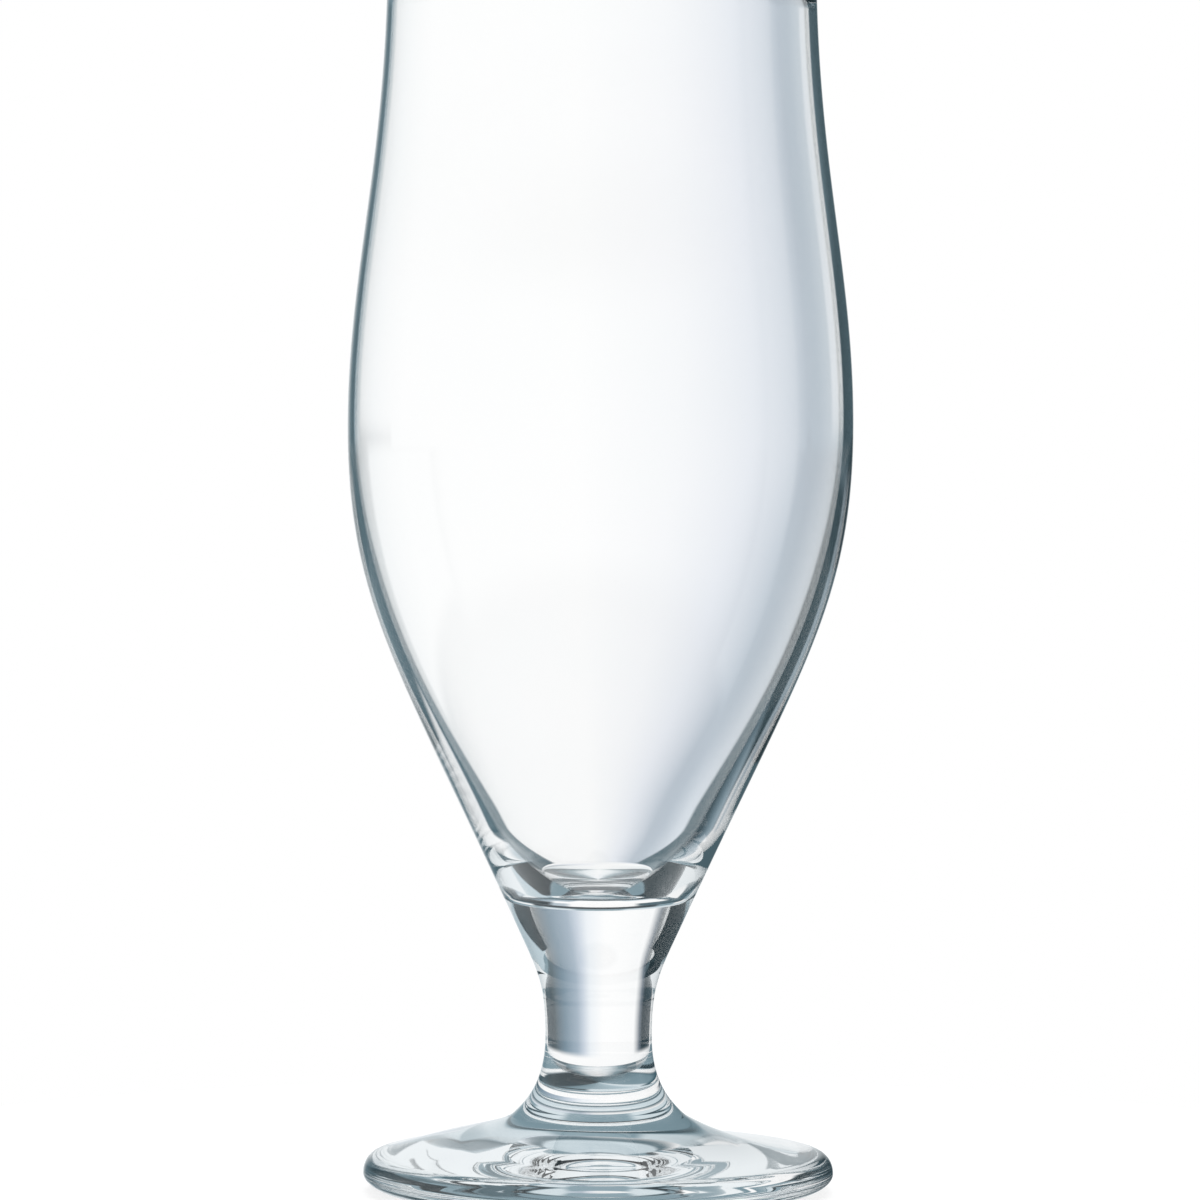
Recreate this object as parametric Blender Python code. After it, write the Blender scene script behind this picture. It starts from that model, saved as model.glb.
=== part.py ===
"""Tulip beer glass: a blown bowl, a pressed stem and a pressed foot, fused one above the other.

Units are metres and +Z is up. The origin is the centre of the ring that the foot stands on.
Each piece is turned about Z from an outline of (radius, height) points.
"""
import math

import bmesh
import bpy
from mathutils import Vector
from mathutils.geometry import interpolate_bezier

MM = 0.001

# Heights, stacked from the table up
FOOT_HEIGHT = 12.1 * MM
STEM_LENGTH = 31.7 * MM
BOWL_HEIGHT = 148.2 * MM
SEAM_GAP = 0.3 * MM  # parting line between two fused pieces

# Bowl, outside
RIM_DIAMETER = 68.7 * MM
BELLY_DIAMETER = 81.0 * MM
BELLY_RISE = 79.3 * MM  # widest ring above the bowl's root
ROOT_DIAMETER = 27.4 * MM  # where the bowl meets the stem
RIM_LEAN = math.radians(1.8)  # wall below the rim, from the vertical
FLANK_ANGLE = math.radians(24.5)  # lower wall, from the vertical

# Bowl, inside
RIM_WALL = 1.2 * MM
BELLY_WALL = 1.35 * MM
BASE_THICKNESS = 4.4 * MM  # solid glass between the root and the inner bottom
HEEL_DIAMETER = 19.2 * MM  # where the dished bottom turns up into the heel
HEEL_RISE = 1.5 * MM
HEEL_ANGLE = math.radians(46.0)  # from the vertical
FLANK_RISE = 16.5 * MM  # top of the heel above the root
INNER_FLANK_DIAMETER = 35.0 * MM  # at the top of the heel
INNER_FLANK_ANGLE = math.radians(29.0)

# Stem
WAIST_DIAMETER = 17.1 * MM
WAIST_RISE = 13.2 * MM  # narrowest ring above the foot
STEM_BASE_DIAMETER = 28.1 * MM
FLARE_ANGLE = math.radians(49.0)  # skirt at the stem's base, from the vertical

# Foot
FOOT_DIAMETER = 75.7 * MM
SHOULDER_HEIGHT = 6.0 * MM  # top of the rounded edge
SHOULDER_INSET = 2.2 * MM
EDGE_HEIGHT = 2.9 * MM  # widest ring above the table
STANDING_DIAMETER = 62.8 * MM  # outside of the flat standing ring
RECESS_DIAMETER = 43.0 * MM  # hollow inside the standing ring
RECESS_DEPTH = 1.2 * MM
FOOT_FALL_ANGLE = math.radians(32.0)  # upper face beside the stem, below the horizontal
FOOT_RUNOUT_ANGLE = math.radians(9.0)  # upper face at the shoulder, below the horizontal

# Pull of each curve's handles, as a share of the height or width that the curve spans
RIM_PULL = 0.425
BELLY_PULL_UP = 0.34
BELLY_PULL_DOWN = 0.36
FLANK_PULL = 0.555
DISH_PULL = 0.45
HEEL_DROP = 0.9
HEEL_PULL = 0.35
INNER_BELLY_PULL = 0.40
INNER_FLANK_PULL = 0.34
NECK_PULL = 0.46
WAIST_PULL_UP = 0.46
WAIST_PULL_DOWN = 0.40
FLARE_PULL = 0.425
FOOT_FALL_PULL = 0.25
FOOT_RUNOUT_PULL = 0.20
ROUND_PULL = 0.5523  # a quarter circle or quarter ellipse

SEGMENTS = 48  # sides of each turned piece
CURVE_POINTS = 12  # points on a long curve
ROUND_POINTS = 7  # points on an edge or a lip
SMOOTH_LIMIT = math.radians(30.0)
MERGE_DISTANCE = 0.001 * MM

UP = Vector((0.0, 1.0))  # outlines are (radius, height)


def slope(angle, length):
    """Step of a given length, angle away from straight up and outward."""
    return Vector((math.sin(angle), math.cos(angle))) * length


def curve(start, start_handle, end_handle, end, points=CURVE_POINTS):
    """Cubic curve between two outline points; handles are steps away from their own end."""
    return interpolate_bezier(start, start + start_handle, end + end_handle, end, points)


def arc(centre, radius, start_angle, end_angle, points=ROUND_POINTS):
    """Circular arc; angles turn from outward towards upward."""
    turn = (end_angle - start_angle) / (points - 1)
    angles = [start_angle + turn * i for i in range(points)]
    return [centre + Vector((math.cos(a), math.sin(a))) * radius for a in angles]


def join(*stretches):
    """One outline from stretches that share their end points."""
    outline = list(stretches[0])
    for stretch in stretches[1:]:
        outline += stretch[1:] if (stretch[0] - outline[-1]).length < MERGE_DISTANCE else stretch
    return outline


def bowl_outline():
    """Up the inside from the bottom, over the lip and down the outside; zero height is the root."""
    lip_radius = RIM_WALL / 2
    lip_height = BOWL_HEIGHT - lip_radius
    lean = slope(-RIM_LEAN, 1)
    flank = slope(FLANK_ANGLE, 1)
    inner_flank = slope(INNER_FLANK_ANGLE, 1)

    rim = Vector((RIM_DIAMETER / 2, lip_height))
    belly = Vector((BELLY_DIAMETER / 2, BELLY_RISE))
    root = Vector((ROOT_DIAMETER / 2, 0))
    inner_rim = rim - Vector((RIM_WALL, 0))
    inner_belly = belly - Vector((BELLY_WALL, 0))
    upper = lip_height - BELLY_RISE

    # The low dished bottom ends at the heel, which runs into the straight inner flank
    middle = Vector((0, BASE_THICKNESS))
    heel = middle + Vector((HEEL_DIAMETER / 2, HEEL_RISE))
    heel_top = Vector((INNER_FLANK_DIAMETER / 2, FLANK_RISE))
    heel_pull = HEEL_PULL * (heel_top - heel).length
    inner_lower = BELLY_RISE - heel_top.y

    inside = join(
        curve(middle, Vector((DISH_PULL * heel.x, 0)), -slope(HEEL_ANGLE, HEEL_DROP * HEEL_RISE), heel),
        curve(heel, slope(HEEL_ANGLE, heel_pull), -inner_flank * heel_pull, heel_top),
        curve(heel_top, inner_flank * INNER_FLANK_PULL * inner_lower,
              -UP * INNER_BELLY_PULL * inner_lower, inner_belly),
        curve(inner_belly, UP * BELLY_PULL_UP * upper, -lean * RIM_PULL * upper, inner_rim),
    )
    lip = arc((rim + inner_rim) / 2, lip_radius, math.pi, 0)
    outside = join(
        curve(rim, -lean * RIM_PULL * upper, UP * BELLY_PULL_UP * upper, belly),
        curve(belly, -UP * BELLY_PULL_DOWN * BELLY_RISE, flank * FLANK_PULL * BELLY_RISE, root),
    )
    return join(inside, lip, outside, [root, Vector((0, 0))])


def stem_outline():
    """Down the outside from the bowl's root to the foot; zero height is the top of the foot."""
    top = STEM_LENGTH - SEAM_GAP
    neck = Vector((ROOT_DIAMETER / 2 - SEAM_GAP * math.tan(FLANK_ANGLE), top))
    waist = Vector((WAIST_DIAMETER / 2, WAIST_RISE))
    base = Vector((STEM_BASE_DIAMETER / 2 - SEAM_GAP * math.tan(FLARE_ANGLE), SEAM_GAP))
    upper = top - WAIST_RISE
    lower = WAIST_RISE - SEAM_GAP
    return join(
        [Vector((0, top)), neck],
        curve(neck, -slope(FLANK_ANGLE, NECK_PULL * upper), UP * WAIST_PULL_UP * upper, waist),
        curve(waist, -UP * WAIST_PULL_DOWN * lower, slope(-FLARE_ANGLE, FLARE_PULL * lower), base),
        [base, Vector((0, SEAM_GAP))],
    )


def foot_outline():
    """Out over the upper face, round the edge and back under; zero height is the table."""
    land = Vector((STEM_BASE_DIAMETER / 2, FOOT_HEIGHT))
    shoulder = Vector((FOOT_DIAMETER / 2 - SHOULDER_INSET, SHOULDER_HEIGHT))
    edge = Vector((FOOT_DIAMETER / 2, EDGE_HEIGHT))
    standing = Vector((STANDING_DIAMETER / 2, 0))
    recess_edge = Vector((RECESS_DIAMETER / 2, 0))
    width = shoulder.x - land.x
    fall = slope(math.pi / 2 + FOOT_FALL_ANGLE, FOOT_FALL_PULL * width)
    runout = -slope(math.pi / 2 + FOOT_RUNOUT_ANGLE, FOOT_RUNOUT_PULL * width)
    round_over = slope(math.pi / 2 + FOOT_RUNOUT_ANGLE, ROUND_PULL * SHOULDER_INSET)
    upper_edge = Vector((0, ROUND_PULL * (SHOULDER_HEIGHT - EDGE_HEIGHT)))
    lower_edge = Vector((0, -ROUND_PULL * EDGE_HEIGHT))
    under_edge = Vector((ROUND_PULL * (edge.x - standing.x), 0))
    recess_radius = (recess_edge.x ** 2 + RECESS_DEPTH ** 2) / (2 * RECESS_DEPTH)
    recess_centre = Vector((0, RECESS_DEPTH - recess_radius))
    recess_start = math.acos(recess_edge.x / recess_radius)
    return join(
        [Vector((0, FOOT_HEIGHT)), land],
        curve(land, fall, runout, shoulder),
        curve(shoulder, round_over, upper_edge, edge, ROUND_POINTS),
        curve(edge, lower_edge, under_edge, standing, ROUND_POINTS),
        [standing, recess_edge],
        arc(recess_centre, recess_radius, recess_start, math.pi / 2),
    )


def clear_glass(name):
    """Colourless soda-lime glass with a polished face."""
    material = bpy.data.materials.new(name)
    material.use_nodes = True
    shader = material.node_tree.nodes["Principled BSDF"]
    shader.inputs["Base Color"].default_value = (0.93, 0.96, 0.97, 1.0)
    shader.inputs["Roughness"].default_value = 0.02
    shader.inputs["Metallic"].default_value = 0.0
    shader.inputs["Transmission Weight"].default_value = 1.0
    shader.inputs["IOR"].default_value = 1.52
    return material


def turned_piece(name, outline, height, parent):
    """Closed solid of revolution that stands at a height above the table."""
    work = bmesh.new()
    verts = [work.verts.new((max(point.x, 0.0), 0.0, point.y)) for point in outline]
    edges = [work.edges.new(pair) for pair in zip(verts, verts[1:])]
    bmesh.ops.spin(work, geom=verts + edges, cent=(0, 0, 0), axis=(0, 0, 1),
                   angle=2 * math.pi, steps=SEGMENTS, use_merge=True)
    bmesh.ops.remove_doubles(work, verts=work.verts, dist=MERGE_DISTANCE)
    bmesh.ops.recalc_face_normals(work, faces=work.faces)
    mesh = bpy.data.meshes.new(name)
    work.to_mesh(mesh)
    work.free()
    mesh.shade_smooth()
    mesh.set_sharp_from_angle(angle=SMOOTH_LIMIT)
    mesh.materials.append(clear_glass(name + "_glass"))
    piece = bpy.data.objects.new(name, mesh)
    piece.parent = parent
    piece.location.z = height
    bpy.context.collection.objects.link(piece)
    return piece


def main():
    for old in list(bpy.data.objects):
        bpy.data.objects.remove(old, do_unlink=True)
    glass = bpy.data.objects.new("tulip_glass", None)
    bpy.context.collection.objects.link(glass)
    turned_piece("foot", foot_outline(), 0.0, glass)
    turned_piece("stem", stem_outline(), FOOT_HEIGHT, glass)
    turned_piece("bowl", bowl_outline(), FOOT_HEIGHT + STEM_LENGTH, glass)


main()
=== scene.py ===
"""Looks of the tulip beer glass: a blown bowl, a pressed stem and a pressed foot in clear glass.

Units are metres and +Z is up. An outline is a row of (radius, height) points, and each piece of
glass is its outline turned about Z. The photograph's camera looks along +Y. In the studio a turn is
degrees to the right of that line, and a tilt is degrees above the horizon.
"""
import math

import bpy
from mathutils import Matrix, Vector
from mathutils.geometry import interpolate_bezier


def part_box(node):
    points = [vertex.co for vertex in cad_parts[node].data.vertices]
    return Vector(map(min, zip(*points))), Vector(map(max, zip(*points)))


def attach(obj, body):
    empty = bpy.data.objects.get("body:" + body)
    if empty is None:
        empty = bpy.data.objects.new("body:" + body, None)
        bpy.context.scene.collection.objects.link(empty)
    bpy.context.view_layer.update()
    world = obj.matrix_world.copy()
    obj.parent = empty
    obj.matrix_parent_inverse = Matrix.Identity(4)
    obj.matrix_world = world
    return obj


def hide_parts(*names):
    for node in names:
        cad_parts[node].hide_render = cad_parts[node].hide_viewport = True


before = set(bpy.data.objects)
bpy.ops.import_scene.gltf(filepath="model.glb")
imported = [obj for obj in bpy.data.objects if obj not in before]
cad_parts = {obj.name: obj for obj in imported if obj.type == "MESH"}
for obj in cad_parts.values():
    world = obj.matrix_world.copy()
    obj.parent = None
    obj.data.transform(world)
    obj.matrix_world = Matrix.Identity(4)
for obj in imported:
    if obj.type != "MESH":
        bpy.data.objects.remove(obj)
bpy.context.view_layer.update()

MM = 0.001

# Heights and outer sizes that the frame gives
FOOT_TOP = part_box("foot")[1][2]
FOOT_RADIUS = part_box("foot")[1][0]
BOWL_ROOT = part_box("bowl")[0][2]
BOWL_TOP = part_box("bowl")[1][2]
BELLY_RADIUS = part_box("bowl")[1][0]

# Bowl
RIM_RADIUS = 34.35 * MM
BELLY_RISE = 79.3 * MM  # widest ring above the root
ROOT_RADIUS = 13.7 * MM
RIM_LEAN = math.radians(1.8)
FLANK_ANGLE = math.radians(24.5)
RIM_WALL = 1.2 * MM
BELLY_WALL = 1.35 * MM
BASE_THICKNESS = 4.4 * MM
DISH_PULL = 0.45
HEEL_RADIUS = 9.6 * MM  # where the dished bottom turns up into the heel
HEEL_RISE = 1.5 * MM
HEEL_DROP = 0.9
HEEL_ANGLE = math.radians(46.0)
HEEL_PULL = 0.35
FLANK_RISE = 16.5 * MM  # top of the heel above the root
FLANK_INNER_RADIUS = 17.5 * MM
INNER_FLANK_ANGLE = math.radians(29.0)
INNER_SWAY = -0.2 * MM  # the blown hollow sits a little off the axis

# Stem
WAIST_RADIUS = 8.55 * MM
WAIST_RISE = 13.2 * MM  # narrowest ring above the foot
STEM_BASE_RADIUS = 14.05 * MM
FLARE_ANGLE = math.radians(49.0)

# Foot
SHOULDER_HEIGHT = 6.0 * MM
SHOULDER_INSET = 2.2 * MM
EDGE_HEIGHT = 2.9 * MM
STANDING_RADIUS = 31.4 * MM
RECESS_RADIUS = 21.5 * MM
RECESS_DEPTH = 1.2 * MM
FOOT_FALL_ANGLE = math.radians(32.0)
FOOT_RUNOUT_ANGLE = math.radians(9.0)
FOOT_SWELL = 0.65 * MM  # the pressed upper face stands this much higher on its left

# Pull of each curve's handles, as a share of the height or width that the curve spans
RIM_PULL = 0.425
BELLY_PULL_UP = 0.34
BELLY_PULL_DOWN = 0.36
FLANK_PULL = 0.555
INNER_BELLY_PULL = 0.40
INNER_FLANK_PULL = 0.34
NECK_PULL = 0.46
WAIST_PULL_UP = 0.46
WAIST_PULL_DOWN = 0.40
FLARE_PULL = 0.425
FOOT_FALL_PULL = 0.25
FOOT_RUNOUT_PULL = 0.20
ROUND_PULL = 0.5523

# Fineness of the turned meshes
SIDES = 192
CURVE_POINTS = 48
ROUND_POINTS = 20
MERGE_DISTANCE = 0.001 * MM
LEVEL_POINTS = 8
SHARP_ANGLE = math.radians(20.0)
NO_SEAM = -1.0  # a height that no face has

# Clear glass
GLASS_IOR = 1.52
GLASS_TINT = ((0.3, (0.992, 0.997, 0.996, 1.0)), (0.7, (1.0, 1.0, 1.0, 1.0)))
RIPPLE_SCALE = 45.0
RIPPLE_DETAIL = 2.0
RIPPLE_STRENGTH = 0.02
RIPPLE_HEIGHT = 0.4 * MM
HAZE_SCALE = 160.0
HAZE_DETAIL = 4.0
HAZE_ROUGHNESS = 0.012

# Studio colours. Where one number stands for a colour, it is a brightness, and dark ones are bluer.
WHITE = (1.0, 1.0, 1.0)
CARD_DARK = (0.030, 0.048, 0.060)
CARD_PALE = (0.040, 0.100, 0.130)
DARK_RED = 0.55  # red and blue beside green, at the dark end
DARK_BLUE = 1.22
PALE_TILT = (-15.5, -12.0)  # the dark surroundings are paler below this

# White room by turn, with the soft shade on its right that the bowl shows
ROOM = (
    (-180.0, WHITE),
    (0.5, WHITE),
    (3.0, (0.80, 0.83, 0.89)),
    (6.0, (0.43, 0.50, 0.58)),
    (12.0, (0.76, 0.82, 0.89)),
    (48.0, (0.84, 0.88, 0.92)),
    (60.0, (0.36, 0.43, 0.49)),
    (80.0, (0.36, 0.43, 0.49)),
    (115.0, (0.70, 0.76, 0.80)),
    (150.0, WHITE),
    (180.0, WHITE),
)

# Seen straight through the bowl: the white ends at dark surroundings, the same at each step of turn
BOWL_STEP = 45.0
BOWL_EDGE = (13.5, 15.9)
NARROW_TILT = (-35.0, -19.0)  # the white narrows downward
NARROW_MOST = 9.5
OPEN_TURN = (28.0, 36.0)  # nothing dark stands low down beyond this turn
OPEN_TILT = (-34.0, -28.0)
TABLE_TILT = (-50.0, -45.0)  # the table under the bowl begins below this
TABLE_STEP = 90.0
TABLE_ROOM = (
    (0.0, 1.0),
    (10.0, 0.92),
    (22.0, 0.30),
    (36.0, 0.06),
)

# Seen straight through the solid stem, a lens that swaps left and right
STEM_ROOM = (
    (-180.0, CARD_DARK),
    (-44.0, CARD_DARK),
    (-39.0, (0.16, 0.19, 0.23)),
    (-31.0, WHITE),
    (-3.0, WHITE),
    (6.0, (0.86, 0.90, 0.94)),
    (11.0, (0.58, 0.65, 0.74)),
    (16.0, (0.35, 0.44, 0.53)),
    (28.0, (0.175, 0.26, 0.33)),
    (44.0, (0.05, 0.08, 0.095)),
    (50.0, CARD_DARK),
    (180.0, CARD_DARK),
)
STEM_SECTOR = 68.0
FAR_WALL_TILT = (-19.0, -14.0)  # below this is the bowl's far wall, seen through the mouth

# Reflected by the outside of the glass
OUTER_ROOM = (
    (-180.0, 1.0),
    (-80.0, 1.0),
    (-55.0, 0.6),
    (-35.0, 0.15),
    (-20.0, 0.3),
    (-8.0, 0.9),
    (2.0, 0.9),
    (12.0, 0.1),
    (70.0, 0.1),
    (85.0, 0.6),
    (100.0, 0.4),
    (150.0, 1.0),
    (180.0, 1.0),
)

# Reflected once within the glass: dark cards at both sides, a dim ceiling, and white behind the camera
LEFT_CARD = (-34.0, -14.5)
RIGHT_CARD = (12.5, 37.0)
CARD_SOFT = 1.2
CARD_TOP = (5.0, 7.0)
SIDE_TURN = 68.0  # low down, the cards reach this far round
SIDE_TILT = (-4.0, -1.0)
CEILING = (0.12, 0.18, 0.21)
CEILING_TILT = (20.0, 32.0)
BEHIND_TURN = (90.0, 104.0)
BEHIND_LOW = (-40.0, -28.0)
BEHIND_HIGH = (24.0, 34.0)

# The same below the horizon: dark on the left, a low room from there on and a steep one under both
LOW_TILT = (-6.5, -4.5)
LOW_ROOM = (
    (-180.0, WHITE),
    (2.0, WHITE),
    (8.0, (0.52, 0.58, 0.64)),
    (17.0, (0.48, 0.56, 0.62)),
    (24.0, (0.33, 0.42, 0.48)),
    (31.0, (0.14, 0.20, 0.24)),
    (37.0, (0.05, 0.075, 0.09)),
    (70.0, (0.05, 0.075, 0.09)),
    (110.0, (0.30, 0.36, 0.40)),
    (180.0, (0.06, 0.08, 0.09)),
)
LOW_EDGE = (-19.5, -15.5)  # turn where the low room begins
LOW_SPREAD_TILT = -17.5  # below this the low room spreads to the left
LOW_SPREAD = 0.85  # degrees of turn for each degree of tilt
STEEP_TILT = (-44.0, -34.0)
STEEP_ROOM = (
    (-180.0, 0.1),
    (-110.0, 0.27),
    (-52.0, 0.3),
    (-42.0, 0.8),
    (-25.0, 0.5),
    (28.0, 0.25),
    (38.0, 0.05),
    (140.0, 0.03),
    (180.0, 0.1),
)

# Cards as turn, tilt and brightness, each laid over the ones before it, by how often the light that
# finds them was reflected. A card that runs past 180 degrees of turn or 90 of tilt has no edge there.
CARD_EDGE = 2.0
CARDS_ONCE = (
    ((-35.0, 65.0), (-5.0, 20.0), 0.35),
    ((-25.0, 30.0), (-7.5, 2.5), 0.03),
    ((30.0, 45.0), (-2.5, 5.0), 1.0),
    ((-45.0, -10.0), (5.0, 20.0), 0.75),
    ((10.0, 25.0), (5.0, 20.0), 0.75),
    ((-70.0, 60.0), (35.0, 65.0), 0.7),
    ((-95.0, -45.0), (-30.0, -5.0), 1.0),
    ((-40.0, -15.0), (-20.0, -7.5), 0.13),
    ((-30.0, 20.0), (-30.0, -20.0), 1.0),
    ((-12.0, 12.0), (-45.0, -7.5), 1.0),
    ((20.0, 80.0), (-22.5, -7.5), 0.03),
    ((75.0, 95.0), (-40.0, 35.0), 1.0),
)
CARDS_TWICE = (
    ((-130.0, 75.0), (-17.5, 25.0), 0.03),
    ((-130.0, -60.0), (-50.0, 15.0), 0.03),
    ((75.0, 115.0), (-35.0, 35.0), 0.6),
    ((-40.0, 5.0), (-10.0, 75.0), 0.75),
)
CARDS_THRICE = (
    ((-60.0, -45.0), (0.0, 40.0), 1.0),
    ((-100.0, -60.0), (0.0, 30.0), 0.03),
    ((20.0, 55.0), (5.0, 30.0), 0.15),
    ((55.0, 125.0), (-5.0, 50.0), 0.03),
)
CARDS_OFTEN = (
    ((-20.0, 65.0), (-7.5, 10.0), 0.03),
    ((-15.0, 110.0), (-100.0, -45.0), 0.03),
)
CARDS_MOST = (
    ((-200.0, 200.0), (-25.0, 17.5), 0.12),
)

# For light that was reflected within the glass more often than this: its room's brightness and cards
REFLECTED_ROOMS = (
    (1, 0.3, CARDS_TWICE),
    (2, 0.3, CARDS_THRICE),
    (3, 0.9, CARDS_OFTEN),
    (6, 0.9, CARDS_MOST),
)

# Reflected within one wall of the bowl and passed through another
DEEP_BRIGHT = 0.95
DEEP_TILT = (-22.0, -12.0)

# Table top and lamp
TABLE_RADIUS = 0.15
TABLE_SIDES = 96
TABLE_DROP = 0.2 * MM
TABLE_GLOW = 0.75
TABLE_PAPER = (0.3, 0.3, 0.3)
LAMP_WIDTH = 0.6
LAMP_HEIGHT = 0.9
LAMP_POWER = 3.0

# Camera
CAMERA_PLACE = (0.0, -1.3175, 0.17668)
CAMERA_PITCH = math.radians(-3.5384)
CAMERA_ROLL = math.radians(0.19)
CAMERA_LENS = 246.88
CAMERA_SENSOR = 36.0

LIGHT_BOUNCES = 32  # light goes through many faces of glass

WALL_FACES = 2  # light that goes through one wall passes two faces
FULL_TURN = 360.0
DEGREES = 180.0 / math.pi  # in one radian

UP = Vector((0.0, 1.0))


class Socket:
    """A socket of a node tree; arithmetic on it adds Math nodes."""

    def __init__(self, tree, socket=None):
        self.tree = tree
        self.socket = socket

    def add(self, kind, settings=None, sockets=None, out=0):
        """Adds a node, sets it up, fills or links its input sockets and gives one of its outputs."""
        node = self.tree.nodes.new(kind)
        for name, value in (settings or {}).items():
            if name == "stops":
                ramp = node.color_ramp.elements
                while len(ramp) < len(value):
                    ramp.new(0.5)
                for stop, (place, colour) in zip(ramp, value):
                    stop.position = place
                    stop.color = colour
            else:
                setattr(node, name, value)
        for name, value in (sockets or {}).items():
            if isinstance(value, Socket):
                self.tree.links.new(value.socket, node.inputs[name])
            else:
                node.inputs[name].default_value = value
        return Socket(self.tree, node.outputs[out]) if node.outputs else None

    def math(self, operation, *others):
        """A Math node on this socket and any others."""
        return self.add("ShaderNodeMath", {"operation": operation}, dict(enumerate((self, *others))))

    def after(self, operation, first):
        """A Math node on a value and then this socket."""
        return self.add("ShaderNodeMath", {"operation": operation}, {0: first, 1: self})

    def out(self, name):
        """Another output of the same node."""
        return Socket(self.tree, self.socket.node.outputs[name])

    def __add__(self, other):
        return self.math("ADD", other)

    def __sub__(self, other):
        return self.math("SUBTRACT", other)

    def __rsub__(self, other):
        return self.after("SUBTRACT", other)

    def __mul__(self, other):
        return self.math("MULTIPLY", other)

    def __truediv__(self, other):
        return self.math("DIVIDE", other)

    def __rtruediv__(self, other):
        return self.after("DIVIDE", other)

    def __lt__(self, other):
        return self.math("LESS_THAN", other)

    def __gt__(self, other):
        return self.math("GREATER_THAN", other)

    __radd__ = __add__
    __rmul__ = __mul__


# Outlines of the three pieces


def slope(angle, length):
    """Step of a given length, angle away from straight up and outward."""
    return Vector((math.sin(angle), math.cos(angle))) * length


def curve(start, start_handle, end_handle, end, points=CURVE_POINTS):
    """Cubic curve between two outline points; handles are steps away from their own end."""
    return interpolate_bezier(start, start + start_handle, end + end_handle, end, points)


def arc(centre, radius, start_angle, end_angle, points=ROUND_POINTS):
    """Circular arc; angles turn from outward towards upward."""
    turn = (end_angle - start_angle) / (points - 1)
    angles = [start_angle + turn * i for i in range(points)]
    return [centre + Vector((math.cos(a), math.sin(a))) * radius for a in angles]


def level(start, end, points=LEVEL_POINTS):
    """Straight stretch of evenly spaced points."""
    return [start.lerp(end, i / (points - 1)) for i in range(points)]


def weighed(points, weight=lambda share: 0.0):
    """Outline points, each with the share of its piece's unevenness that it takes."""
    last = len(points) - 1
    return [(point, weight(i / last)) for i, point in enumerate(points)]


def join(*stretches):
    """One outline from stretches that share their end points."""
    outline = list(stretches[0])
    for stretch in stretches[1:]:
        outline += stretch[1:]
    return outline


def bowl_outline():
    """Up the inside from the bottom, over the lip, down the outside and in to the axis."""
    lip_radius = RIM_WALL / 2
    lean = slope(-RIM_LEAN, 1)
    flank = slope(FLANK_ANGLE, 1)
    inner_flank = slope(INNER_FLANK_ANGLE, 1)
    belly_height = BOWL_ROOT + BELLY_RISE

    rim = Vector((RIM_RADIUS, BOWL_TOP - lip_radius))
    belly = Vector((BELLY_RADIUS, belly_height))
    root = Vector((ROOT_RADIUS, BOWL_ROOT))
    inner_rim = rim - Vector((RIM_WALL, 0))
    inner_belly = belly - Vector((BELLY_WALL, 0))
    upper = rim.y - belly_height

    # The low dished bottom ends at the heel, which runs into the straight inner flank
    middle = Vector((0, BOWL_ROOT + BASE_THICKNESS))
    heel = middle + Vector((HEEL_RADIUS, HEEL_RISE))
    heel_top = Vector((FLANK_INNER_RADIUS, BOWL_ROOT + FLANK_RISE))
    heel_pull = HEEL_PULL * (heel_top - heel).length
    inner_lower = belly_height - heel_top.y

    inside = join(
        curve(middle, Vector((DISH_PULL * HEEL_RADIUS, 0)),
              -slope(HEEL_ANGLE, HEEL_DROP * HEEL_RISE), heel),
        curve(heel, slope(HEEL_ANGLE, heel_pull), -inner_flank * heel_pull, heel_top),
        curve(heel_top, inner_flank * INNER_FLANK_PULL * inner_lower,
              -UP * INNER_BELLY_PULL * inner_lower, inner_belly),
        curve(inner_belly, UP * BELLY_PULL_UP * upper, -lean * RIM_PULL * upper, inner_rim),
    )
    lip = arc((rim + inner_rim) / 2, lip_radius, math.pi, 0)
    outside = join(
        curve(rim, -lean * RIM_PULL * upper, UP * BELLY_PULL_UP * upper, belly),
        curve(belly, -UP * BELLY_PULL_DOWN * BELLY_RISE, flank * FLANK_PULL * BELLY_RISE, root),
        level(root, Vector((0, BOWL_ROOT))),
    )
    return join(
        weighed(inside, lambda share: 1.0),
        weighed(lip, lambda share: 1.0 - share),
        weighed(outside),
    )


def stem_outline():
    """Out from the axis under the bowl, down the outside and in to the axis above the foot."""
    neck = Vector((ROOT_RADIUS, BOWL_ROOT))
    waist = Vector((WAIST_RADIUS, FOOT_TOP + WAIST_RISE))
    base = Vector((STEM_BASE_RADIUS, FOOT_TOP))
    upper = neck.y - waist.y
    return weighed(join(
        level(Vector((0, BOWL_ROOT)), neck),
        curve(neck, -slope(FLANK_ANGLE, NECK_PULL * upper), UP * WAIST_PULL_UP * upper, waist),
        curve(waist, -UP * WAIST_PULL_DOWN * WAIST_RISE,
              slope(-FLARE_ANGLE, FLARE_PULL * WAIST_RISE), base),
        level(base, Vector((0, FOOT_TOP))),
    ))


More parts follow.
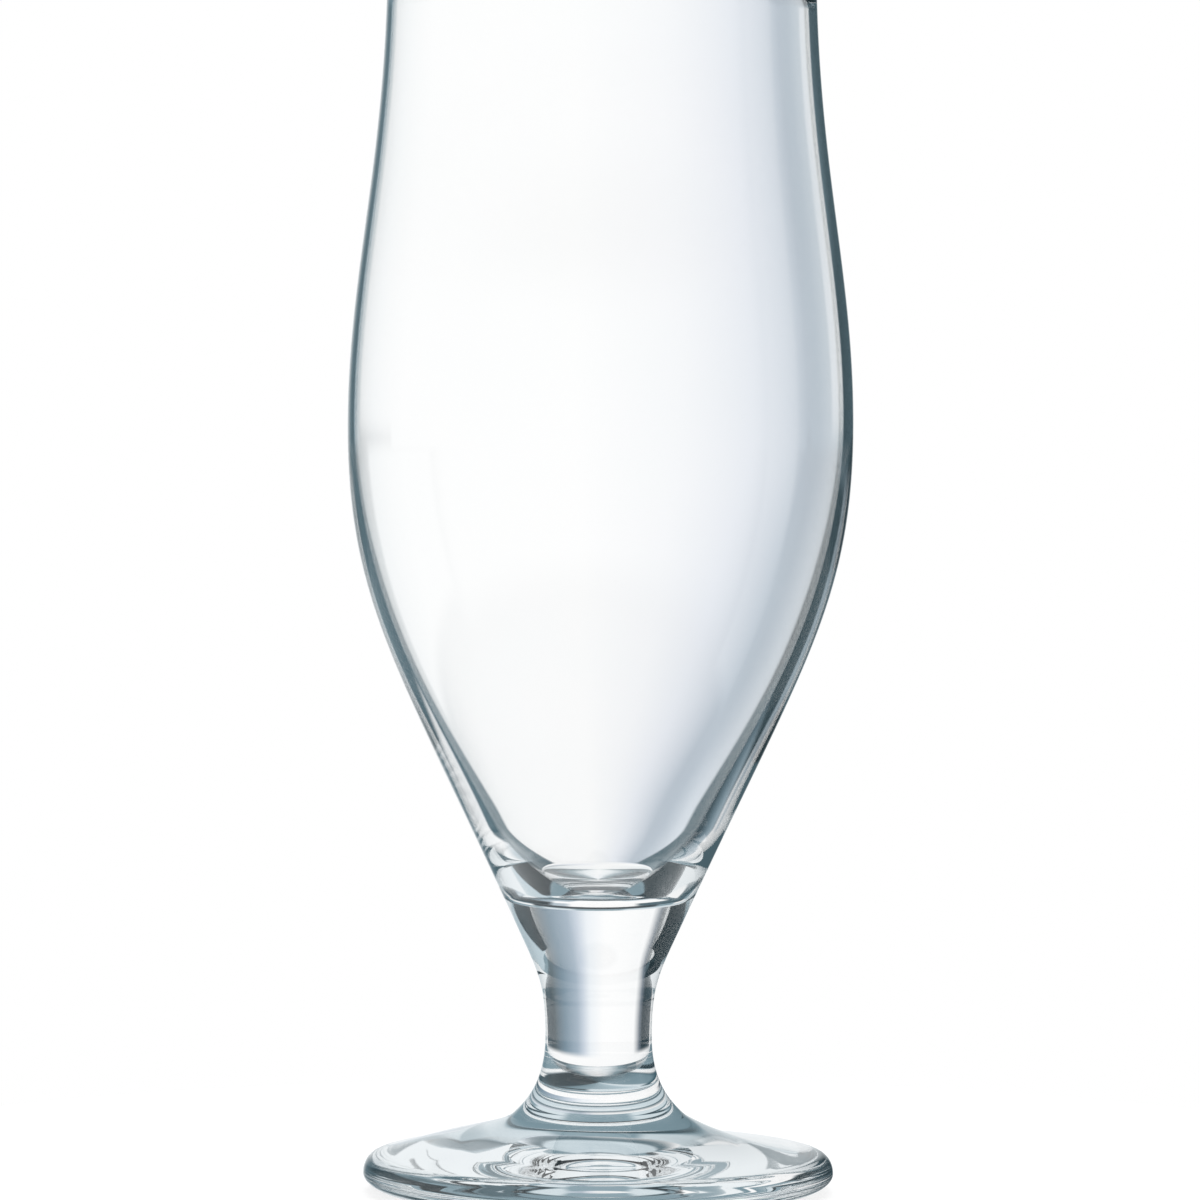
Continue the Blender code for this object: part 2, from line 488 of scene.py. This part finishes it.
def foot_outline():
    """Out from the axis over the upper face, round the edge and back under to the axis."""
    land = Vector((STEM_BASE_RADIUS, FOOT_TOP))
    shoulder = Vector((FOOT_RADIUS - SHOULDER_INSET, SHOULDER_HEIGHT))
    edge = Vector((FOOT_RADIUS, EDGE_HEIGHT))
    standing = Vector((STANDING_RADIUS, 0))
    recess_edge = Vector((RECESS_RADIUS, 0))
    width = shoulder.x - land.x
    fall = slope(math.pi / 2 + FOOT_FALL_ANGLE, FOOT_FALL_PULL * width)
    runout = -slope(math.pi / 2 + FOOT_RUNOUT_ANGLE, FOOT_RUNOUT_PULL * width)
    round_over = slope(math.pi / 2 + FOOT_RUNOUT_ANGLE, ROUND_PULL * SHOULDER_INSET)
    upper_edge = Vector((0, ROUND_PULL * (SHOULDER_HEIGHT - EDGE_HEIGHT)))
    lower_edge = Vector((0, -ROUND_PULL * EDGE_HEIGHT))
    under_edge = Vector((ROUND_PULL * (edge.x - standing.x), 0))
    recess_radius = (recess_edge.x ** 2 + RECESS_DEPTH ** 2) / (2 * RECESS_DEPTH)
    recess_centre = Vector((0, RECESS_DEPTH - recess_radius))
    recess_start = math.acos(recess_edge.x / recess_radius)
    upper_face = curve(land, fall, runout, shoulder)
    return join(
        weighed(level(Vector((0, FOOT_TOP)), land)),
        weighed(upper_face, lambda share: math.sin(math.pi * share) ** 2),
        weighed(join(
            curve(shoulder, round_over, upper_edge, edge, ROUND_POINTS),
            curve(edge, lower_edge, under_edge, standing, ROUND_POINTS),
            level(standing, recess_edge),
            arc(recess_centre, recess_radius, recess_start, math.pi / 2),
        )),
    )


# Materials


def clear_glass():
    """Colourless fire-polished glass, with the faint ripple and haze of a pressed and blown piece."""
    material = bpy.data.materials.new("clear_glass")
    material.use_nodes = True
    tree = material.node_tree
    tree.nodes.clear()
    start = Socket(tree)
    place = start.add("ShaderNodeTexCoord", out="Object")
    ripple = start.add("ShaderNodeTexNoise", sockets={
        "Vector": place, "Scale": RIPPLE_SCALE, "Detail": RIPPLE_DETAIL})
    haze = start.add("ShaderNodeTexNoise", sockets={
        "Vector": place, "Scale": HAZE_SCALE, "Detail": HAZE_DETAIL})
    bump = start.add("ShaderNodeBump", sockets={
        "Height": ripple, "Strength": RIPPLE_STRENGTH, "Distance": RIPPLE_HEIGHT})
    tint = start.add("ShaderNodeValToRGB", {"stops": GLASS_TINT}, {"Fac": ripple})
    shader = start.add("ShaderNodeBsdfPrincipled", sockets={
        "Base Color": tint,
        "Roughness": haze * HAZE_ROUGHNESS,
        "IOR": GLASS_IOR,
        "Transmission Weight": 1.0,
        "Normal": bump,
    })
    start.add("ShaderNodeOutputMaterial", sockets={"Surface": shader})
    return material


def fused_seam():
    """The join inside the glass where two pieces were fused hot: nothing shows there."""
    material = bpy.data.materials.new("fused_seam")
    material.use_nodes = True
    material.node_tree.nodes["Principled BSDF"].inputs["Alpha"].default_value = 0.0
    return material


# Turning an outline into a piece of glass


def turning_tree():
    """Geometry Nodes tree that turns an outline mesh about Z and closes it."""
    tree = bpy.data.node_groups.new("turned_glass", "GeometryNodeTree")
    for name, kind in (
        ("Outline", "NodeSocketGeometry"),
        ("Sides", "NodeSocketInt"),
        ("Sway", "NodeSocketFloat"),
        ("Swell", "NodeSocketFloat"),
        ("Upper Seam", "NodeSocketFloat"),
        ("Lower Seam", "NodeSocketFloat"),
        ("Merge Distance", "NodeSocketFloat"),
        ("Glass", "NodeSocketMaterial"),
        ("Seam", "NodeSocketMaterial"),
    ):
        tree.interface.new_socket(name, in_out="INPUT", socket_type=kind)
    tree.interface.new_socket("Piece", in_out="OUTPUT", socket_type="NodeSocketGeometry")

    given = Socket(tree).add("NodeGroupInput")
    outline = given.out("Outline")
    sides = given.out("Sides")
    columns = sides + 1
    rows = given.add("GeometryNodeAttributeDomainSize", {"component": "MESH"}, {"Geometry": outline})
    sheet = given.add("GeometryNodeMeshGrid", sockets={"Vertices X": rows, "Vertices Y": columns})

    index = given.add("GeometryNodeInputIndex")
    row = ((index + 0.5) / columns).math("FLOOR")
    angle = (index - row * columns) * (2 * math.pi) / sides
    point = given.add("GeometryNodeSampleIndex", {"data_type": "FLOAT_VECTOR"}, {
        "Geometry": outline, "Value": given.add("GeometryNodeInputPosition"), "Index": row})
    drawn_share = given.add("GeometryNodeInputNamedAttribute", {"data_type": "FLOAT"}, {"Name": "share"})
    share = given.add("GeometryNodeSampleIndex", {"data_type": "FLOAT"}, {
        "Geometry": outline, "Value": drawn_share, "Index": row})
    radius = given.add("ShaderNodeSeparateXYZ", sockets={0: point})
    height = radius.out("Z")
    right = angle.math("COSINE")
    back = angle.math("SINE")
    place = given.add("ShaderNodeCombineXYZ", sockets={
        "X": radius * right + share * given.out("Sway"),
        "Y": radius * back,
        "Z": height - share * right * given.out("Swell"),
    })
    turned = given.add("GeometryNodeSetPosition", sockets={"Geometry": sheet, "Position": place})
    closed = given.add("GeometryNodeMergeByDistance", sockets={
        "Geometry": turned, "Distance": given.out("Merge Distance")})
    smooth = given.add("GeometryNodeSetShadeSmooth", sockets={"Geometry": closed, "Shade Smooth": True})
    whole = given.add("GeometryNodeRealizeInstances", sockets={"Geometry": smooth})
    glass = given.add("GeometryNodeSetMaterial", sockets={"Geometry": whole, "Material": given.out("Glass")})
    face = given.add("ShaderNodeSeparateXYZ", sockets={0: given.add("GeometryNodeInputPosition")}).out("Z")
    for seam in ("Upper Seam", "Lower Seam"):
        apart = face - given.out(seam)
        glass = given.add("GeometryNodeSetMaterial", sockets={
            "Geometry": glass, "Material": given.out("Seam"),
            "Selection": apart.math("ABSOLUTE") < given.out("Merge Distance")})
    given.add("NodeGroupOutput", sockets={"Piece": glass})
    return tree


def turned_piece(name, tree, outline, sizes):
    """A finished mesh object: the outline's points go through the tree and come back as plain faces."""
    mesh = bpy.data.meshes.new(name + "_outline")
    mesh.from_pydata([(max(point.x, 0.0), 0.0, point.y) for point, share in outline], [], [])
    shares = mesh.attributes.new("share", "FLOAT", "POINT")
    shares.data.foreach_set("value", [share for point, share in outline])
    drawing = bpy.data.objects.new(name + "_outline", mesh)
    bpy.context.collection.objects.link(drawing)
    turning = drawing.modifiers.new("turning", "NODES")
    turning.node_group = tree
    for socket in tree.interface.items_tree:
        if socket.in_out == "INPUT" and socket.name in sizes:
            turning[socket.identifier] = sizes[socket.name]
    depsgraph = bpy.context.evaluated_depsgraph_get()
    finished = bpy.data.meshes.new_from_object(drawing.evaluated_get(depsgraph))
    bpy.data.objects.remove(drawing, do_unlink=True)
    bpy.data.meshes.remove(mesh)
    finished.name = name
    finished.set_sharp_from_angle(angle=SHARP_ANGLE)
    piece = bpy.data.objects.new(name, finished)
    bpy.context.collection.objects.link(piece)
    return piece


def make_glass():
    """The three pieces of glass, each standing for its own node."""
    tree = turning_tree()
    common = {
        "Sides": SIDES,
        "Sway": 0.0,
        "Swell": 0.0,
        "Upper Seam": NO_SEAM,
        "Lower Seam": NO_SEAM,
        "Merge Distance": MERGE_DISTANCE,
        "Glass": clear_glass(),
        "Seam": fused_seam(),
    }
    bowl = turned_piece("blown_bowl", tree, bowl_outline(),
                        {**common, "Sway": INNER_SWAY, "Lower Seam": BOWL_ROOT})
    stem = turned_piece("pressed_stem", tree, stem_outline(),
                        {**common, "Upper Seam": BOWL_ROOT, "Lower Seam": FOOT_TOP})
    foot = turned_piece("pressed_foot", tree, foot_outline(),
                        {**common, "Swell": FOOT_SWELL, "Upper Seam": FOOT_TOP})
    for piece, node in ((bowl, "bowl"), (stem, "stem"), (foot, "foot")):
        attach(piece, "root")
        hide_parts(node)


# Studio


def paint(colour):
    """Red, green, blue and alpha of a colour or a brightness."""
    if isinstance(colour, float):
        red = colour * (DARK_RED + (1 - DARK_RED) * colour)
        blue = colour * (DARK_BLUE + (1 - DARK_BLUE) * colour)
        colour = (red, colour, blue)
    return (*colour, 1.0)


def rise(value, low, high):
    """Smooth step from 0 at low to 1 at high."""
    return value.add("ShaderNodeMapRange", {"interpolation_type": "SMOOTHSTEP"}, {
        "Value": value, "From Min": low, "From Max": high, "To Min": 0.0, "To Max": 1.0})


def window(value, low, high, soft):
    """1 between low and high, with soft edges."""
    return rise(value, low - soft, low + soft) * (1 - rise(value, high - soft, high + soft))


def folded(turn, step):
    """Degrees away from the nearest of the directions that lie a step apart."""
    return ((turn + step / 2).math("FLOORED_MODULO", step) - step / 2).math("ABSOLUTE")


def blend(share, below, above):
    """Mix of two colours."""
    return share.add("ShaderNodeMix", {"data_type": "RGBA"}, {0: share, 6: below, 7: above}, out=2)


def round_room(turn, colours):
    """Colour by direction round the glass."""
    stops = [(place / FULL_TURN + 0.5, paint(colour)) for place, colour in colours]
    return turn.add("ShaderNodeValToRGB", {"stops": stops}, {"Fac": turn / FULL_TURN + 0.5})


def hang(colour, turn, tilt, cards):
    """Colour with soft-edged cards laid over it."""
    for turns, tilts, brightness in cards:
        share = window(turn, *turns, CARD_EDGE) * window(tilt, *tilts, CARD_EDGE)
        colour = blend(share, colour, paint(brightness))
    return colour


def bowl_room(turn, tilt, room, shade):
    """What shows straight through both walls of the bowl."""
    narrow = NARROW_MOST * (1 - rise(tilt, *NARROW_TILT))
    edge = rise(folded(turn, BOWL_STEP) + narrow, *BOWL_EDGE)
    clear = rise(turn.math("ABSOLUTE"), *OPEN_TURN) * (1 - rise(tilt, *OPEN_TILT))
    table = round_room(folded(turn, TABLE_STEP), TABLE_ROOM)
    return blend(rise(tilt, *TABLE_TILT), table, blend(edge * (1 - clear), room, shade))


def stem_room(turn, tilt):
    """What shows straight through the solid stem."""
    core = blend(turn.math("ABSOLUTE") < STEM_SECTOR, paint(WHITE), round_room(turn, STEM_ROOM))
    return blend(rise(tilt, *FAR_WALL_TILT), paint(WHITE), core)


def low_room(turn, tilt, shade):
    """What light that was reflected once within the glass finds below the horizon."""
    spread = (LOW_SPREAD_TILT - tilt).math("MAXIMUM", 0.0) * LOW_SPREAD
    low = blend(rise(turn + spread, *LOW_EDGE), shade, round_room(turn, LOW_ROOM))
    return blend(rise(tilt, *STEEP_TILT), round_room(turn, STEEP_ROOM), low)


def once_room(turn, tilt, room, shade):
    """What light that was reflected once within the glass finds."""
    cards = window(turn, *LEFT_CARD, CARD_SOFT) + window(turn, *RIGHT_CARD, CARD_SOFT)
    left_side = window(turn, -SIDE_TURN, LEFT_CARD[1], CARD_SOFT)
    right_side = window(turn, RIGHT_CARD[0], SIDE_TURN, CARD_SOFT)
    behind = rise(turn.math("ABSOLUTE"), *BEHIND_TURN)
    behind = behind * rise(tilt, *BEHIND_LOW) * (1 - rise(tilt, *BEHIND_HIGH))
    found = blend(cards * (1 - rise(tilt, *CARD_TOP)), room, paint(CARD_DARK))
    found = blend((left_side + right_side) * (1 - rise(tilt, *SIDE_TILT)), found, paint(CARD_DARK))
    found = blend(rise(tilt, *CEILING_TILT), found, paint(CEILING))
    found = blend(rise(tilt, *LOW_TILT), low_room(turn, tilt, shade), found)
    found = blend(behind, found, paint(WHITE))
    return hang(found, turn, tilt, CARDS_ONCE)


def deep_room(tilt):
    """What light finds that was reflected within one wall and passed another."""
    return blend(rise(tilt, *DEEP_TILT), paint(CARD_DARK), paint(DEEP_BRIGHT))


def more(depth, count):
    """Whether a whole-number depth is more than a count."""
    return depth > count + 0.5


def lit(start, colour):
    """A room of this colour, at the strength where white is white."""
    return start.add("ShaderNodeBackground", sockets={"Color": colour, "Strength": 1.0})


def either(test, no, yes):
    """One shader or the other."""
    return test.add("ShaderNodeMixShader", sockets={0: test, 1: no, 2: yes})


def studio_world():
    """White to the camera and the table; to the glass, a room for each way that light takes in it."""
    world = bpy.data.worlds.new("studio")
    world.use_nodes = True
    tree = world.node_tree
    tree.nodes.clear()
    start = Socket(tree)
    x = start.add("ShaderNodeSeparateXYZ", sockets={0: start.add("ShaderNodeTexCoord", out="Generated")})
    turn = x.math("ARCTAN2", x.out("Y")) * DEGREES
    tilt = x.out("Z").math("ARCSINE") * DEGREES
    room = round_room(turn, ROOM)
    shade = blend(rise(tilt, *PALE_TILT), paint(CARD_PALE), paint(CARD_DARK))

    path = start.add("ShaderNodeLightPath")
    passed = path.out("Transmission Depth")
    reflected = path.out("Glossy Depth")
    within = lit(start, once_room(turn, tilt, room, shade))
    for count, brightness, cards in REFLECTED_ROOMS:
        often = lit(start, hang(paint(brightness), turn, tilt, cards))
        within = either(more(reflected, count), within, often)
    within = either(more(passed, WALL_FACES), within, lit(start, deep_room(tilt)))
    outside = lit(start, round_room(turn, OUTER_ROOM))
    bent = either(more(passed, 0), outside, within)
    through_stem = lit(start, stem_room(turn, tilt))
    through_bowl = lit(start, bowl_room(turn, tilt, room, shade))
    straight = either(more(passed, WALL_FACES), through_stem, through_bowl)
    by_glass = either(more(reflected, 0), straight, bent)
    plain = path.out("Is Camera Ray").math("MAXIMUM", path.out("Is Diffuse Ray"))
    light = either(plain, by_glass, lit(start, paint(WHITE)))
    start.add("ShaderNodeOutputWorld", sockets={"Surface": light})
    bpy.context.scene.world = world


def white_table():
    """White paper that keeps a soft shadow; light that comes through the glass finds the room instead."""
    material = bpy.data.materials.new("white_table")
    material.use_nodes = True
    tree = material.node_tree
    tree.nodes.clear()
    start = Socket(tree)
    glow = start.add("ShaderNodeEmission", sockets={"Color": paint(WHITE), "Strength": TABLE_GLOW})
    paper = start.add("ShaderNodeBsdfDiffuse", sockets={"Color": paint(TABLE_PAPER)})
    both = start.add("ShaderNodeAddShader", sockets={0: glow, 1: paper})
    path = start.add("ShaderNodeLightPath")
    by_glass = more(path.out("Transmission Depth") + path.out("Glossy Depth"), 0)
    seen = either(by_glass, both, start.add("ShaderNodeBsdfTransparent"))
    start.add("ShaderNodeOutputMaterial", sockets={"Surface": seen})
    return material


def table_top():
    """White disc under the glass."""
    turns = [2 * math.pi * i / TABLE_SIDES for i in range(TABLE_SIDES)]
    rim = [(TABLE_RADIUS * math.cos(a), TABLE_RADIUS * math.sin(a), -TABLE_DROP) for a in turns]
    mesh = bpy.data.meshes.new("table_top")
    mesh.from_pydata(rim, [], [tuple(range(TABLE_SIDES))])
    mesh.materials.append(white_table())
    disc = bpy.data.objects.new("table_top", mesh)
    bpy.context.collection.objects.link(disc)


def top_light():
    """Broad soft lamp over the glass."""
    lamp = bpy.data.lights.new("top_light", "AREA")
    lamp.shape = "DISK"
    lamp.size = LAMP_WIDTH
    lamp.energy = LAMP_POWER
    light = bpy.data.objects.new("top_light", lamp)
    light.location = (0.0, 0.0, LAMP_HEIGHT)
    light.visible_glossy = False
    light.visible_transmission = False
    bpy.context.collection.objects.link(light)


def photo_camera():
    """Camera at the photograph's place, a little above the middle of the bowl."""
    data = bpy.data.cameras.new("camera")
    data.sensor_width = CAMERA_SENSOR
    data.lens = CAMERA_LENS
    camera = bpy.data.objects.new("camera", data)
    pitch = Matrix.Rotation(math.pi / 2 + CAMERA_PITCH, 4, "X")
    roll = Matrix.Rotation(CAMERA_ROLL, 4, "Z")
    camera.matrix_world = Matrix.Translation(CAMERA_PLACE) @ pitch @ roll
    bpy.context.collection.objects.link(camera)
    bpy.context.scene.camera = camera


make_glass()
studio_world()
table_top()
top_light()
photo_camera()
scene = bpy.context.scene
scene.view_settings.view_transform = "Standard"
scene.cycles.max_bounces = LIGHT_BOUNCES
scene.cycles.glossy_bounces = LIGHT_BOUNCES
scene.cycles.transmission_bounces = LIGHT_BOUNCES
scene.cycles.transparent_max_bounces = LIGHT_BOUNCES
